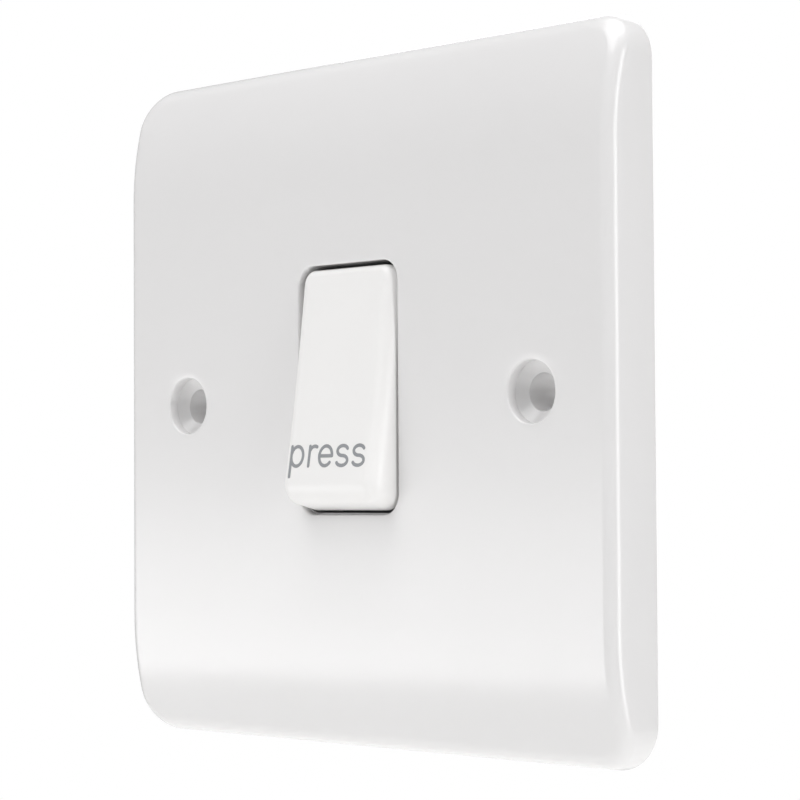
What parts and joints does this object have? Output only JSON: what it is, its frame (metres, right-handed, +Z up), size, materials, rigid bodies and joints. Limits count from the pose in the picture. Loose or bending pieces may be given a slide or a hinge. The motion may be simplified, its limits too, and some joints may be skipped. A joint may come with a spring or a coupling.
{
  "type": "push button light switch",
  "caption": "Square moulded wall switch plate with a spring-return press rocker, fixing holes at the sides and a see-saw contact mechanism with screw terminals behind it.",
  "frame": {"origin": "centre of the plate on the wall plane, midway between the two fixing holes", "axes": "+Z up, +X right seen from the front, +Y into the wall; the front looks along -Y"},
  "size_m": [0.086, 0.024, 0.086],
  "materials": {
    "moulded_white": "polished moulding",
    "cover_moulding": "moulded",
    "base_moulding": "moulded",
    "acetal": "moulded",
    "spring_steel": "drawn wire",
    "contact_copper": "rolled strip",
    "silver": "brazed disc",
    "terminal_brass": "extruded and drilled",
    "plated_steel": "zinc plated"
  },
  "bodies": {
    "housing": {"front_plate": "moulded_white", "chamber_cover": "cover_moulding", "mechanism_base": "base_moulding", "return_spring": "spring_steel", "common_saddle": "contact_copper", "upper_contact_strip": "contact_copper", "lower_contact_strip": "contact_copper", "upper_fixed_tip": "silver", "lower_fixed_tip": "silver", "upper_terminal_block": "terminal_brass", "common_terminal_block": "terminal_brass", "lower_terminal_block": "terminal_brass", "upper_base_screw": "plated_steel", "lower_base_screw": "plated_steel"},
    "rocker": {"rocker": "moulded_white", "plunger_spring": "spring_steel"},
    "plunger": {"plunger": "acetal"},
    "blade": {"contact_blade": "contact_copper", "upper_moving_tip": "silver", "lower_moving_tip": "silver"},
    "upper_screw": {"upper_terminal_screw": "plated_steel"},
    "common_screw": {"common_terminal_screw": "plated_steel"},
    "lower_screw": {"lower_terminal_screw": "plated_steel"}
  },
  "joints": [
    {"name": "rocker_press", "type": "hinge", "parent": "housing", "child": "rocker", "pos_m": [0, -0.004, 0.0013], "axis": [1, 0, 0], "range_deg": [0, 13], "stiffness_Nm_per_rad": 0.09, "springref_deg": -18.91, "deforming": ["return_spring"]},
    {"name": "contact_rock", "type": "hinge", "parent": "housing", "child": "blade", "pos_m": [0, 0.00567, 0.0013], "axis": [1, 0, 0], "range_deg": [-15.6, 0]},
    {"name": "plunger_slide", "type": "slide", "parent": "rocker", "child": "plunger", "axis": [0, -0.9877, 0.1564], "range_m": [0, 0.0004], "deforming": ["plunger_spring"]},
    {"name": "upper_clamp", "type": "slide", "parent": "housing", "child": "upper_screw", "axis": [0, -1, 0], "range_m": [0, 0.0029]},
    {"name": "common_clamp", "type": "slide", "parent": "housing", "child": "common_screw", "axis": [0, -1, 0], "range_m": [0, 0.0029]},
    {"name": "lower_clamp", "type": "slide", "parent": "housing", "child": "lower_screw", "axis": [0, -1, 0], "range_m": [0, 0.0029]}
  ],
  "couplings": [
    {"joint": "contact_rock", "follows": "rocker_press", "ratio": -1.2},
    {"joint": "plunger_slide", "follows": "rocker_press", "m_per_rad": 0.0017628}
  ]
}
